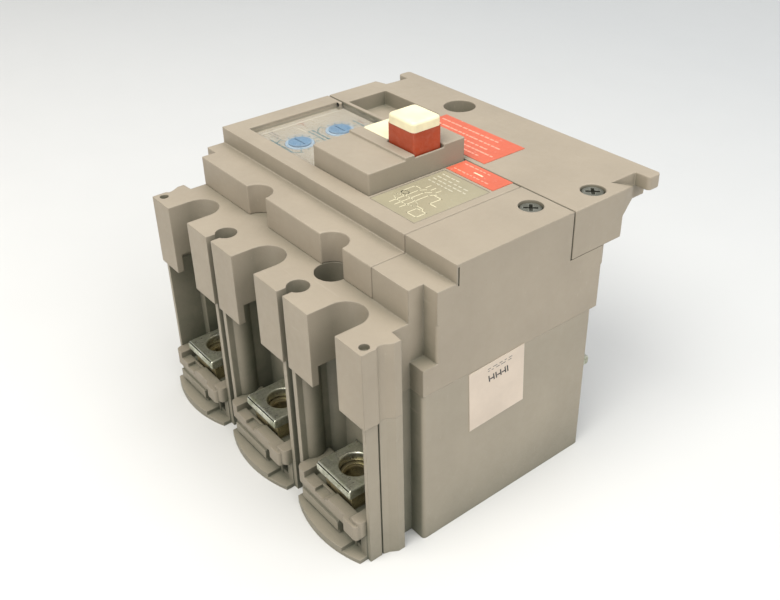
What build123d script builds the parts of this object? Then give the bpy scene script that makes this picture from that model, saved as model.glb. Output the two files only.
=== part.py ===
from build123d import *
import os

# Three-pole earth-leakage module that bolts to the load end of a moulded-case circuit breaker.
# Millimetres. X runs along the row of poles, Y from the cable terminals towards the breaker,
# Z out of the mounting plane. While modelling, Y = 0 is the front of the terminal shroud;
# place() then moves every sub-part so that the origin is the centre of the box's bottom face.

# ---------------------------------------------------------------- driving dimensions
WIDTH = 105.0             # three poles at the standard pitch
POLE_PITCH = 35.0
HALF = WIDTH / 2
POLES = (-POLE_PITCH, 0.0, POLE_PITCH)
WALL = 2.2                # general wall of the mouldings
FLOOR = 2.5               # floor of the lower case
FIT = 0.15                # half the gap between mouldings that lie side by side
EPS = 1.0                 # how far a cutter runs past the face it opens

# heights above the mounting plane
SHROUD_Z = 44.5           # lower edge of the terminal shroud
SEAM_Z = 47.2             # parting line of lower and upper case
SHELF_Z = 55.0            # shelf under the case's front corner steps
TERRACE_1_Z = 66.0        # top of the terminal shroud and of the upper case's ring of walls
TERRACE_2_Z = 75.0
WING_Z = 76.0             # underside of the breaker-side cover's wings
TOP_Z = 80.0              # top of the covers
BOSS_Z = 86.0             # top of the button surround, front part
BOSS_REAR_Z = 86.8        # top of the button surround, rear part

# depths from the shroud's front
RIB_Y0, RIB_Y1 = 8.6, 10.9
TERRACE_2_Y = 15.8        # front wall of the second terrace
MAIN_Y = 16.0             # front of the full-width case
CORNER_Y = 20.3           # back of the front corner steps
TOP_Y = 26.0              # front wall of the top
SPLIT_Y = 65.0            # joint of the front cover and the breaker-side cover
SPLIT_GAP = 0.3           # half its width
BASE_BACK_Y = 75.0        # back of the lower case: the length that the module adds
CASE_BACK_Y = 77.5        # back of the upper case
SKIRT_END_Y = 84.0        # end of the breaker-side cover's full-height skirt
WING_Y = 93.8             # near side of the wings
END_Y = 98.5              # far edge of the breaker-side cover

# half widths
BLOCK_HALF = 50.5         # terminal block
RIB_HALF = 51.4           # rib on the terminal block's side
NECK_HALF = 47.6          # behind the rib, the second terrace's front and the cover's neck
WING_HALF = 52.4
SEAM_X = 34.0             # side of the front cover, next to the fixed right strip

# terminal block
SLOT_W = 2.6              # phase-barrier slots between the poles
SLOT_EYE_R = 3.0
SLOT_BEAD_R = 4.1         # wall around a slot's round end
SLOT_EYE_Y = 5.5
BARRIER_WALL = 1.6
NOTCH_R = 5.55            # screwdriver notches in the shroud
NOTCH_Y = 7.0
SHROUD_WALL = 2.0
CHAMBER_HALF = POLE_PITCH / 2 - SLOT_W / 2 - BARRIER_WALL
CHAMBER_Y = 13.5
CHAMBER_WIDE_Y = 9.5      # the outer chambers are narrower behind the rib
CHAMBER_TOP_Z = 50.0
OUTER_WALL = 2.0
SET_BACK = 0.8            # the lower case stands back from the shroud above it
SIDE_GROOVE_Y0, SIDE_GROOVE_Y1 = 4.4, 4.9
SIDE_GROOVE_T = 0.5
PEG_X, PEG_Y, PEG_R, PEG_DEPTH = 48.2, 2.6, 1.3, 1.6

# curved lip and low panel in front of each terminal
LIP_REACH = 4.6
LIP_END_Y = -1.8          # the curve's ends
LIP_T = 1.2
LIP_STEP_T = 2.4          # thicker part of the lip
LIP_STEP_X = 8.0          # where it ends, right of the pole
SILL_Z = 8.5
SILL_LEFT = 2.0           # gap between the panel and the left wall
SILL_RIGHT = 3.6          # where the panel ends, right of the pole
SILL_Y0, SILL_Y1 = -0.8, 1.0
SILL_BAND_Y = -1.4
SILL_BAND_Z0, SILL_BAND_Z1 = 3.6, 6.5
SILL_RIB_X, SILL_RIB_T = 8.3, 0.8
LEDGE_T = 1.6
RAIL_W = 2.4

# cage that holds the nut
CAGE_Z = 13.5             # top of its arms
CAGE_Y = -1.5
CAGE_BACK_Y = 9.4
CAGE_ARM = 3.6
CAGE_FRONT_Y = 1.6        # back of its front wall
CAGE_LEFT_Z, CAGE_RIGHT_Z = 11.5, 12.3
CAGE_KEY = (-5.9, -1.5, 10.4)
CAGE_POST_X0, CAGE_POST_X1 = 7.0, 12.9
CAGE_POST_Z = 7.8
CAGE_PLAY = 0.1

# conductors
BAR_T = 3.0
BAR_HALF = 7.35
BAR_TOP_Z = 18.8
BAR_Z = BAR_TOP_Z - BAR_T
BAR_FRONT_Y = 0.2
BAR_END_Y = 89.5
BAR_GAP = 0.15
PAD_HOLE_Y = 7.7
STAB_HOLE_Y = 82.0
PAD_HOLE_R = 4.3
NUT_HALF = 5.7
NUT_Z = 10.2
NUT_THREAD_R = 3.35

# captive screws to the breaker's terminals
LINE_SCREW_R = 4.0
LINE_SCREW_Z0 = 6.6
LINE_SCREW_Z1 = 15.4      # the neck above it keeps the screw in the stab
LINE_NECK_R = 3.1
LINE_HEAD_R = 6.4
LINE_HEAD_T = 5.0
LINE_SOCKET_R = 3.46      # corner radius of the 6 mm hexagon socket

# mounting screw well beside the third pole
WELL_X = POLE_PITCH / 2
WELL_Y = 15.8
WELL_R = 4.7
WELL_WALL = 1.5
WELL_FLOOR = 4.0
MOUNT_HOLE_R = 2.3

# case screws, driven from below
CASE_SCREWS = [(side * 47.0, y) for side in (-1, 1) for y in (21.7, 69.0)]
COLUMN_R = 3.5
CASE_SCREW_R = 1.5
CASE_HEAD_R = 2.7
CASE_HEAD_Z0, CASE_HEAD_Z1 = 0.6, 2.6
CASE_SCREW_END_Z = 53.0
COLUMN_TOP_Z = SHELF_Z

# cover screws, driven from above
STRIP_SCREW = (43.2, 59.0)
COVER_SCREW = (47.2, 77.4)
COVER_HEAD_R = 3.0
COVER_HEAD_SINK = 0.5     # the head's face lies this far below the top
COVER_HEAD_T = 1.5
COVER_RECESS = 1.1
COVER_SHANK_R = 1.6
COVER_SCREW_END_Z = 62.0

# control area
BOSS_HALF = 12.4
BOSS_Y0, BOSS_Y1 = 31.8, 64.8
BOSS_STEP_Y = 44.0
BOSS_WALL = 1.6
COVER_HOLLOW_Z = 75.4     # underside of the front cover's top
FLANGE_Z = 73.8
FLANGE_HALF = 15.4
PANEL_X0 = -46.0
PANEL_Y0 = 31.6
PANEL_Z = 77.4            # floor of the setting-dial recess
PANEL_T = 0.6
DIAL_X = -30.7
DIAL_YS = (39.3, 53.7)
DIAL_R = 3.4
DIAL_COLLAR_R = 4.3
DIAL_SHAFT_R = 1.5
RESET_X0, RESET_X1 = 0.7, 11.5
RESET_Y0, RESET_Y1 = 47.5, 57.0
RESET_FOOT_Z = 76.0
RESET_CAP_Z = 92.3
RESET_TOP_Z = 95.1
RESET_RIM_Z = 85.9        # lowered rim of the surround beside the reset button
RESET_STEM_Z = 72.0
RESET_STEM_R = 2.2
TEST_X0, TEST_X1 = -12.2, -0.9
TEST_Y0, TEST_Y1 = 48.5, 59.6
TEST_TOP_Z = 86.5
TEST_T = 1.6
TEST_TRAVEL = 1.5
TEST_STEM_Z = 74.0
TEST_STEM_HALF = 2.2
BUTTON_GAP = 0.3
WINDOW_Z0, WINDOW_Z1 = 78.7, 79.7
HINGE_X = -45.2
HINGE_Z = (WINDOW_Z0 + WINDOW_Z1) / 2
HINGE_PIN_R = 0.45
HINGE_LUG_Y = 63.4

# recesses of the breaker-side cover
POCKET_X0, POCKET_X1 = -43.6, -17.5
POCKET_Y0, POCKET_Y1 = 66.6, 81.3
POCKET_Z = 75.0
ROUND_X, ROUND_Y, ROUND_R = -17.8, 90.2, 4.9
ROUND_DEPTH = 6.4

# labels: x0, x1, y0, y1 of those on top, and y0, y1, z0, z1 of the one on the side
LABEL_T = 0.15
LABEL_SINK = 0.25
DIAGRAM_LABEL = (13.6, 31.0, 31.4, 56.4)
SMALL_WARNING = (13.1, 31.2, 57.4, 64.6)
LARGE_WARNING = (-15.0, 18.0, 66.9, 82.4)
SIDE_LABEL = (30.6, 49.6, 28.4, 46.8)
SIDE_LABEL_TILT = 2.2     # degrees, its far end higher

# mechanism
FRAME_Z0, FRAME_Z1 = 62.0, 63.5
BOARD_X0, BOARD_X1 = -48.0, -16.5
BOARD_Y0, BOARD_Y1 = 22.5, 62.0
BOARD_Z0, BOARD_Z1 = 62.0, 63.6
SWITCH_TOP_Z = 72.0
CORE_HALF = 49.0
CORE_Y0, CORE_Y1 = 26.5, 42.0
CORE_Z0, CORE_Z1 = 4.0, 31.0
CORE_LIMB = 5.0
RELAY_X0, RELAY_X1 = 17.0, 31.0
RELAY_Y0, RELAY_Y1 = 44.0, 60.0
RELAY_Z0 = 50.0
PLUNGER_X, PLUNGER_Z = 24.0, 57.0
PLUNGER_R = 1.5
PLUNGER_END_Y = 68.2
LEVER_Y, LEVER_Z = 70.0, 50.0
LEVER_PIN_R = 1.5
LEVER_HUB_R = 3.0
LEVER_X0, LEVER_X1 = -2.5, 28.5
LEVER_TIP_Y = 83.0
RUNNING = 0.05            # radial clearance of a turning or sliding fit

Y_MID = (END_Y - LIP_REACH) / 2


# ---------------------------------------------------------------- helpers
def block(x0, x1, y0, y1, z0, z1):
    """Box between two corners."""
    return Pos((x0 + x1) / 2, (y0 + y1) / 2, (z0 + z1) / 2) * Box(x1 - x0, y1 - y0, z1 - z0)


def post(x, y, z0, z1, radius):
    """Upright cylinder."""
    return Pos(x, y, (z0 + z1) / 2) * Cylinder(radius, z1 - z0)


def rod_x(x0, x1, y, z, radius):
    """Cylinder along X."""
    return Pos((x0 + x1) / 2, y, z) * Rot(0, 90, 0) * Cylinder(radius, x1 - x0)


def rod_y(x, y0, y1, z, radius):
    """Cylinder along Y."""
    return Pos(x, (y0 + y1) / 2, z) * Rot(90, 0, 0) * Cylinder(radius, y1 - y0)


def prism(points, z0, z1):
    """Plan outline pulled up from z0 to z1."""
    face = make_face(Polyline(*points, close=True))
    return Pos(0, 0, z0) * extrude(face, amount=z1 - z0, dir=(0, 0, 1))


def top_edges(shape):
    """Edges of the highest level."""
    return shape.edges().group_by(Axis.Z)[-1]


def upright_edges(shape):
    """Vertical edges."""
    return shape.edges().filter_by(Axis.Z)


def group(solids):
    """Separate solids that share one node."""
    return Part() + solids


def both_sides(shape):
    """The shape and its mirror image across the middle plane."""
    return shape + mirror(shape, about=Plane.YZ)


def place(shape):
    """Move from the modelling frame to the row frame."""
    return Pos(0, -Y_MID, 0) * shape


def chamber_sides(pole):
    """Left and right wall of one pole's cable chamber."""
    limit = BLOCK_HALF - OUTER_WALL
    return max(pole - CHAMBER_HALF, -limit), min(pole + CHAMBER_HALF, limit)


def chamber(pole, y0, z0, z1):
    """Cable chamber of one pole, narrower behind the ribs of the block's sides."""
    left, right = chamber_sides(pole)
    limit = NECK_HALF - OUTER_WALL
    wide = block(left, right, y0, CHAMBER_WIDE_Y, z0, z1)
    return wide + block(max(left, -limit), min(right, limit), CHAMBER_WIDE_Y - EPS, CHAMBER_Y, z0, z1)


def barrier_slots(z0, z1):
    """Keyhole slots between the poles, open to the front."""
    slots = []
    for x in (-POLE_PITCH / 2, POLE_PITCH / 2):
        slots.append(block(x - SLOT_W / 2, x + SLOT_W / 2, -EPS, SLOT_EYE_Y, z0, z1))
        slots.append(post(x, SLOT_EYE_Y, z0, z1, SLOT_EYE_R))
    return slots


def slot_beads(z0, z1):
    """Rounded walls around the slots' round ends."""
    return [post(x, SLOT_EYE_Y, z0, z1, SLOT_BEAD_R) for x in (-POLE_PITCH / 2, POLE_PITCH / 2)]


def block_side(z0, z1, front):
    """Terminal block between two heights, from its front outline back to the ribs and necks."""
    right = front + [
        (RIB_HALF, RIB_Y0),
        (RIB_HALF, RIB_Y1 - 0.3),
        (NECK_HALF, RIB_Y1),
        (NECK_HALF, MAIN_Y + 0.5),
    ]
    left = [(-x, y) for x, y in reversed(right)]
    return prism(right + left, z0, z1)


def shroud_front():
    """Right half of the shroud's outline in front of its ribs."""
    return [(BLOCK_HALF, 0), (BLOCK_HALF, 4.2), (BLOCK_HALF - 0.7, 5.2), (BLOCK_HALF - 0.3, 6.6)]


def base_front():
    """The same for the lower case, with a fine upright groove."""
    x = BLOCK_HALF - SET_BACK
    y0, y1 = SIDE_GROOVE_Y0, SIDE_GROOVE_Y1
    groove_x = x - SIDE_GROOVE_T
    return [(x, SET_BACK), (x, y0), (groove_x, y0), (groove_x, y1), (x, y1), (BLOCK_HALF - 0.3, 6.6)]


def cross_recess(x, y, z0, z1, reach, angle):
    """Cutter for a cross-head driver, its arms turned by an angle in degrees."""
    half = reach / 4
    cross = block(-reach, reach, -half, half, z0, z1)
    cross += block(-half, half, -reach, reach, z0, z1)
    return Pos(x, y, 0) * Rot(0, 0, angle) * cross


def coil_spring(x, y, z0, z1, radius, wire_r, turns):
    """Open coil spring with its wire ends inside the two levels."""
    rise = z1 - z0 - 2 * wire_r
    path = Pos(x, y, z0 + wire_r) * Helix(rise / turns, rise, radius)
    profile = Plane(origin=path @ 0, z_dir=path % 0) * Circle(wire_r)
    return sweep(profile, path=path)


# ---------------------------------------------------------------- mouldings
def lip_plate(left, right, height):
    """Plate with a curved front edge below one terminal."""
    middle = ((left + right) / 2, -LIP_REACH)
    back = Polyline((left, LIP_END_Y), (left, SILL_Y1), (right, SILL_Y1), (right, LIP_END_Y))
    outline = back + ThreePointArc((left, LIP_END_Y), middle, (right, LIP_END_Y))
    return extrude(make_face(outline), amount=height, dir=(0, 0, 1))


def terminal_sill(pole):
    """Curved lip and low front panel below one terminal, with cage rails behind them."""
    left, right = chamber_sides(pole)
    step = block(left, pole + LIP_STEP_X, -LIP_REACH, SILL_Y1, 0, LIP_STEP_T)
    lip = lip_plate(left, right, LIP_T) + (lip_plate(left, right, LIP_STEP_T) & step)
    panel_x0, panel_x1 = left + SILL_LEFT, pole + SILL_RIGHT
    panel = block(panel_x0, panel_x1, SILL_Y0, SILL_Y1, 0, SILL_Z)
    panel += block(panel_x0, panel_x1, SILL_BAND_Y, SILL_Y0, SILL_BAND_Z0, SILL_BAND_Z1)
    ledge = block(left, panel_x1 + LEDGE_T, 0.2, RAIL_W, SILL_Z - LEDGE_T, SILL_Z)
    rib_x = pole + SILL_RIB_X
    rib = block(rib_x, rib_x + SILL_RIB_T, SILL_Y1 / 2, RAIL_W, 0, SILL_Z)
    rails = block(left, left + RAIL_W, SILL_Y1 / 2, CAGE_BACK_Y, 0, SILL_Z)
    rails += block(right - RAIL_W, right, SILL_Y1 / 2, CAGE_BACK_Y, 0, SILL_Z)
    return lip + panel + ledge + rib + rails


def base_housing():
    """Lower case: cable chambers, floor and the shell around the current transformer."""
    body = block(-HALF, HALF, MAIN_Y, BASE_BACK_Y, 0, SEAM_Z)
    body = fillet(upright_edges(body), 1.0)
    body += block_side(0, SHROUD_Z, base_front())
    body += block(-NECK_HALF, NECK_HALF, RIB_Y1, MAIN_Y + EPS, SHROUD_Z, SEAM_Z)
    inside = block(-HALF + WALL, HALF - WALL, MAIN_Y + 2.0, BASE_BACK_Y - WALL, FLOOR, SEAM_Z + EPS)
    body -= inside
    for pole in POLES:
        body -= chamber(pole, -EPS, FLOOR, SEAM_Z + EPS)
    body += post(WELL_X, WELL_Y, 0, SEAM_Z, WELL_R + WELL_WALL)
    body -= block(-HALF, HALF, -EPS, RIB_Y1, SHROUD_Z, SEAM_Z + EPS)
    for pole in POLES:
        x0, x1 = pole - BAR_HALF - BAR_GAP, pole + BAR_HALF + BAR_GAP
        body -= block(x0, x1, 5, MAIN_Y + 4, BAR_Z - BAR_GAP, BAR_TOP_Z + BAR_GAP)
        body -= block(x0, x1, BASE_BACK_Y - 5, BASE_BACK_Y + EPS, BAR_Z - BAR_GAP, BAR_TOP_Z + BAR_GAP)
        body += terminal_sill(pole)
    for bead in slot_beads(0, SHROUD_Z):
        body += bead
    for slot in barrier_slots(-EPS, SEAM_Z + EPS):
        body -= slot
    body -= post(WELL_X, WELL_Y, WELL_FLOOR, SEAM_Z + EPS, WELL_R)
    body -= post(WELL_X, WELL_Y, -EPS, WELL_FLOOR + EPS, MOUNT_HOLE_R)
    for x, y in CASE_SCREWS:
        body += post(x, y, 0, SEAM_Z, COLUMN_R)
        body -= post(x, y, -EPS, SEAM_Z + EPS, CASE_SCREW_R + 0.2)
        body -= post(x, y, -EPS, CASE_HEAD_Z1, CASE_HEAD_R + 0.3)
    return body


def shroud():
    """Terminal shroud: the first terrace with its notches, core-outs and peg holes."""
    body = block_side(SHROUD_Z, TERRACE_1_Z, shroud_front())
    body -= block(-HALF, HALF, RIB_Y1, MAIN_Y + EPS, SHROUD_Z - EPS, SEAM_Z)
    for pole in POLES:
        left, right = chamber_sides(pole)
        body -= chamber(pole, SHROUD_WALL, SHROUD_Z - EPS, CHAMBER_TOP_Z)
        body -= block(pole - NOTCH_R, pole + NOTCH_R, -EPS, NOTCH_Y, SHROUD_Z - EPS, TERRACE_1_Z + EPS)
        body -= post(pole, NOTCH_Y, SHROUD_Z - EPS, TERRACE_1_Z + EPS, NOTCH_R)
        core_top_z = TERRACE_1_Z - FLOOR
        for x0, x1 in ((left, pole - NOTCH_R - BARRIER_WALL), (pole + NOTCH_R + BARRIER_WALL, right)):
            body -= block(x0, x1, SHROUD_WALL, CHAMBER_WIDE_Y, SHROUD_Z - EPS, core_top_z)
    for side in (-1, 1):
        body -= post(side * PEG_X, PEG_Y, TERRACE_1_Z - PEG_DEPTH, TERRACE_1_Z + EPS, PEG_R)
    return body


def upper_housing():
    """Upper case: terminal shroud, ring of walls and the fixed right strip."""
    ring = block(-HALF, HALF, CORNER_Y, CASE_BACK_Y, SEAM_Z, TERRACE_1_Z)
    ring = fillet(upright_edges(ring), 0.8)
    ring += block(-HALF, HALF, MAIN_Y, CORNER_Y + 2, SEAM_Z, SHELF_Z)
    ring += block(-NECK_HALF, NECK_HALF, MAIN_Y - 0.5, CORNER_Y + 2, SEAM_Z, TERRACE_1_Z)
    strip = block(SEAM_X + FIT, HALF, CORNER_Y, SPLIT_Y - SPLIT_GAP, TERRACE_1_Z, TERRACE_2_Z)
    strip += block(SEAM_X + FIT, NECK_HALF, TERRACE_2_Y, CORNER_Y + EPS, TERRACE_1_Z, TERRACE_2_Z)
    strip += block(SEAM_X + FIT, HALF, TOP_Y, SPLIT_Y - SPLIT_GAP, TERRACE_2_Z, TOP_Z)
    body = ring + strip + shroud()
    # one cavity under everything, stepped like the outside
    x_in, x_out = SEAM_X + FIT + WALL, HALF - WALL
    low = block(-x_out, x_out, CORNER_Y + WALL, CASE_BACK_Y - WALL, SEAM_Z - EPS, TERRACE_1_Z)
    neck_in = NECK_HALF - WALL
    low += block(-neck_in, neck_in, MAIN_Y + WALL, CORNER_Y + WALL + EPS, SEAM_Z - EPS, TERRACE_1_Z)
    body -= low
    y_in, z_in = CORNER_Y + WALL, TERRACE_1_Z - EPS
    body -= block(-x_out, SEAM_X + FIT, y_in, CASE_BACK_Y - WALL, z_in, TERRACE_1_Z + EPS)
    body -= block(x_in, x_out, y_in, SPLIT_Y - WALL, z_in, TERRACE_2_Z - WALL)
    body -= block(x_in, x_out, TOP_Y + WALL, SPLIT_Y - WALL, TERRACE_1_Z, TOP_Z - WALL)
    body -= block(x_in - 0.1, x_out, SPLIT_Y - EPS, CASE_BACK_Y - WALL, z_in, TERRACE_1_Z)
    # screw well on the right, and the floor of the matching recess on the left
    body += post(WELL_X, WELL_Y, SEAM_Z, TERRACE_1_Z, WELL_R + WELL_WALL)
    body += post(-WELL_X, WELL_Y, TERRACE_1_Z - WALL, TERRACE_1_Z, WELL_R + WELL_WALL)
    for bead in slot_beads(SHROUD_Z, TERRACE_1_Z):
        body += bead
    for slot in barrier_slots(SHROUD_Z - EPS, TERRACE_1_Z + EPS):
        body -= slot
    body -= post(WELL_X, WELL_Y, SHROUD_Z, TERRACE_1_Z + EPS, WELL_R)
    for pole in POLES:
        body -= post(pole, NOTCH_Y, SHROUD_Z - EPS, TERRACE_1_Z + EPS, NOTCH_R)
    # short groove down the right face at the top's front corner
    body -= block(HALF - 0.4, HALF + EPS, TOP_Y + 0.4, TOP_Y + 0.9, TERRACE_2_Z - 0.8, TOP_Z - 0.8)
    for x, y in CASE_SCREWS:
        body += post(x, y, SEAM_Z, COLUMN_TOP_Z, COLUMN_R)
        body -= post(x, y, SEAM_Z - EPS, CASE_SCREW_END_Z, CASE_SCREW_R)
    for x, y, top in ((*STRIP_SCREW, TOP_Z), (*COVER_SCREW, TERRACE_1_Z)):
        column = post(x, y, COVER_SCREW_END_Z - 3, top, COVER_HEAD_R + 1.2)
        body += column & block(SEAM_X + FIT, HALF, 0, END_Y, 0, TOP_Z)
        body -= post(x, y, COVER_SCREW_END_Z, TOP_Z, COVER_SHANK_R)
    x, y = STRIP_SCREW
    body -= post(x, y, TOP_Z - COVER_HEAD_SINK - COVER_HEAD_T, TOP_Z + EPS, COVER_HEAD_R + 0.3)
    # window for the trip lever and cheeks for its pin
    window_x1, window_z0, window_z1 = 6.0, SEAM_Z + 0.4, LEVER_Z + 8.0
    window_y0 = CASE_BACK_Y - WALL - EPS
    body -= block(LEVER_X0 - 1.5, window_x1, window_y0, CASE_BACK_Y + EPS, window_z0, window_z1)
    for x0 in (LEVER_X0 - 2.5, LEVER_X1 + 0.5):
        body += block(x0, x0 + 2.0, LEVER_Y - 3.5, CASE_BACK_Y - WALL, SEAM_Z, LEVER_Z + 4.0)
    body -= rod_x(LEVER_X0 - 2.5, LEVER_X1 + 2.5, LEVER_Y, LEVER_Z, LEVER_PIN_R)
    return body


def front_cover():
    """Front cover: second terrace, control recess and label pockets."""
    right = SEAM_X - FIT
    body = block(-HALF, right, CORNER_Y, TOP_Y + EPS, TERRACE_1_Z, TERRACE_2_Z)
    body += block(-NECK_HALF, right, TERRACE_2_Y, CORNER_Y + EPS, TERRACE_1_Z, TERRACE_2_Z)
    body += block(-HALF, right, TOP_Y, SPLIT_Y - SPLIT_GAP, TERRACE_1_Z, TOP_Z)
    x0, x1 = -HALF + WALL, right - WALL
    body -= block(-NECK_HALF + WALL, x1, MAIN_Y + WALL, TOP_Y, TERRACE_1_Z - EPS, TERRACE_2_Z - WALL)
    body -= block(x0, x1, CORNER_Y + WALL, SPLIT_Y - WALL, TERRACE_1_Z - EPS, TERRACE_2_Z - WALL)
    body -= block(x0, x1, TOP_Y + WALL, SPLIT_Y - WALL, TERRACE_1_Z, COVER_HOLLOW_Z)
    for side in (-1, 1):
        well = post(side * WELL_X, WELL_Y, TERRACE_1_Z, TERRACE_2_Z, WELL_R + WELL_WALL)
        body += well & block(-HALF, HALF, TERRACE_2_Y, END_Y, 0, TOP_Z)
        body -= post(side * WELL_X, WELL_Y, TERRACE_1_Z - EPS, TERRACE_2_Z + EPS, WELL_R)
    body -= block(PANEL_X0, -BOSS_HALF, PANEL_Y0, SPLIT_Y, PANEL_Z, TOP_Z + EPS)
    gap = 0.1
    body -= block(-BOSS_HALF - gap, BOSS_HALF + gap, BOSS_Y0 - gap, SPLIT_Y, TERRACE_1_Z, TOP_Z + EPS)
    for y in DIAL_YS:
        body -= post(DIAL_X, y, COVER_HOLLOW_Z - EPS, PANEL_Z + EPS, DIAL_SHAFT_R + 0.3)
    # window hinge: a hole in the recess's front wall and a lug at its far end
    lug = block(PANEL_X0, HINGE_X + 0.9, HINGE_LUG_Y, SPLIT_Y - SPLIT_GAP, PANEL_Z, TOP_Z)
    body += lug
    body -= rod_y(HINGE_X, PANEL_Y0 - 1.2, SPLIT_Y, HINGE_Z, HINGE_PIN_R + RUNNING)
    x0, x1, y0, y1 = DIAGRAM_LABEL
    body -= block(x0 - 0.1, x1 + 0.1, y0 - 0.1, y1 + 0.1, TOP_Z - LABEL_SINK, TOP_Z + EPS)
    return body


def far_cover():
    """Breaker-side cover: T-shaped, it overlaps the front of the breaker."""
    body = block(-HALF, HALF, SPLIT_Y + SPLIT_GAP, SKIRT_END_Y, TERRACE_1_Z, TOP_Z)
    wings = block(-WING_HALF, WING_HALF, WING_Y, END_Y, WING_Z, TOP_Z)
    wings = fillet(upright_edges(wings), 1.2)
    neck = block(-NECK_HALF, NECK_HALF, SKIRT_END_Y - EPS, END_Y, WING_Z - 4, TOP_Z)
    outline = [
        (NECK_HALF - EPS, SKIRT_END_Y - EPS),
        (HALF, SKIRT_END_Y - EPS),
        (HALF, SKIRT_END_Y),
        (NECK_HALF, WING_Y),
        (NECK_HALF - EPS, WING_Y),
    ]
    gusset = prism(outline, WING_Z - 4, TOP_Z)
    slope = [(SKIRT_END_Y, TOP_Z), (WING_Y, WING_Z), (WING_Y, TOP_Z + EPS), (SKIRT_END_Y, TOP_Z + EPS)]
    face = make_face(Polyline(*[(0, y, z) for y, z in slope], close=True))
    gusset -= Pos(NECK_HALF, 0, 0) * extrude(face, amount=10, dir=(1, 0, 0))
    body += wings + neck + both_sides(gusset)
    body -= block(-HALF + WALL, HALF - WALL, POCKET_Y0, SKIRT_END_Y - WALL, TERRACE_1_Z - EPS, TOP_Z - WALL)
    neck_in = NECK_HALF - WALL
    body -= block(-neck_in, neck_in, SKIRT_END_Y - 5, END_Y + EPS, TERRACE_1_Z - EPS, TOP_Z - WALL)
    tub = block(POCKET_X0 - 1.5, POCKET_X1 + 1.5, POCKET_Y0 - 1.0, POCKET_Y1 + 1.5, POCKET_Z - 1.5, TOP_Z)
    body += tub
    body -= block(POCKET_X0, POCKET_X1, POCKET_Y0, POCKET_Y1, POCKET_Z, TOP_Z + EPS)
    body += post(ROUND_X, ROUND_Y, TOP_Z - ROUND_DEPTH - 1.6, TOP_Z, ROUND_R + 1.4)
    body -= post(ROUND_X, ROUND_Y, TOP_Z - ROUND_DEPTH, TOP_Z + EPS, ROUND_R)
    x, y = COVER_SCREW
    body += post(x, y, TERRACE_1_Z, TOP_Z, COVER_HEAD_R + 1.2) & block(0, HALF, 0, END_Y, 0, TOP_Z)
    body -= post(x, y, TERRACE_1_Z - EPS, TOP_Z, COVER_SHANK_R)
    body -= post(x, y, TOP_Z - COVER_HEAD_SINK - COVER_HEAD_T, TOP_Z + EPS, COVER_HEAD_R + 0.3)
    return body


def button_surround():
    """Raised housing around the two push buttons."""
    body = block(-BOSS_HALF, BOSS_HALF, BOSS_Y0, BOSS_Y1, FLANGE_Z, BOSS_Z)
    body += block(-BOSS_HALF, BOSS_HALF, BOSS_STEP_Y, BOSS_Y1, FLANGE_Z, BOSS_REAR_Z)
    body = fillet(upright_edges(body).filter_by(lambda e: e.length > 10), 0.5)
    body += block(-FLANGE_HALF, FLANGE_HALF, 29.0, 62.4, FLANGE_Z, COVER_HOLLOW_Z)
    inner = BOSS_HALF - BOSS_WALL
    y0, y1 = BOSS_Y0 + BOSS_WALL, BOSS_Y1 - BOSS_WALL
    body -= block(-inner, inner, y0, y1, FLANGE_Z - EPS, BOSS_Z - BOSS_WALL)
    g = BUTTON_GAP
    body -= block(RESET_X0 - g, RESET_X1 + g, RESET_Y0 - g, RESET_Y1 + g, FLANGE_Z, BOSS_REAR_Z + EPS)
    pocket_z = TEST_TOP_Z - TEST_T - TEST_TRAVEL - 0.1
    body -= block(TEST_X0 - EPS, TEST_X1 + g, TEST_Y0 - g, TEST_Y1 + g, pocket_z, BOSS_REAR_Z + EPS)
    rim = block(RESET_X1, BOSS_HALF + EPS, RESET_Y0 - g, RESET_Y1 + g, RESET_RIM_Z, BOSS_REAR_Z + EPS)
    return body - rim


# ---------------------------------------------------------------- control panel
def dial_panel():
    """Printed plate under the setting dials."""
    y0, y1 = PANEL_Y0 + 0.1, SPLIT_Y - SPLIT_GAP
    body = block(PANEL_X0 + 0.1, -BOSS_HALF - 0.2, y0, y1, PANEL_Z, PANEL_Z + PANEL_T)
    body -= block(PANEL_X0, HINGE_X + 1.1, HINGE_LUG_Y - 0.2, SPLIT_Y, PANEL_Z - EPS, TOP_Z)
    for y in DIAL_YS:
        body -= post(DIAL_X, y, PANEL_Z - EPS, TOP_Z, DIAL_COLLAR_R + 0.2)
    return body


def settings_window():
    """Clear hinged cover over the setting dials."""
    y0, y1 = PANEL_Y0 + 0.3, SPLIT_Y - SPLIT_GAP
    body = block(PANEL_X0 + 0.3, -BOSS_HALF - 0.4, y0, y1, WINDOW_Z0, WINDOW_Z1)
    body -= block(PANEL_X0, HINGE_X + 1.2, HINGE_LUG_Y - 0.3, SPLIT_Y, WINDOW_Z0 - EPS, TOP_Z)
    body += rod_y(HINGE_X, PANEL_Y0 - 0.8, PANEL_Y0 + 2.0, HINGE_Z, HINGE_PIN_R)
    body += rod_y(HINGE_X, HINGE_LUG_Y - 2.0, HINGE_LUG_Y + 1.0, HINGE_Z, HINGE_PIN_R)
    # finger tab and sealing eye at the free edge
    body += block(-16.8, -13.4, 46.0, 50.0, WINDOW_Z1, TOP_Z + 0.1)
    body -= post(-15.1, 36.0, WINDOW_Z0 - EPS, TOP_Z + EPS, 0.8)
    return body


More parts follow.
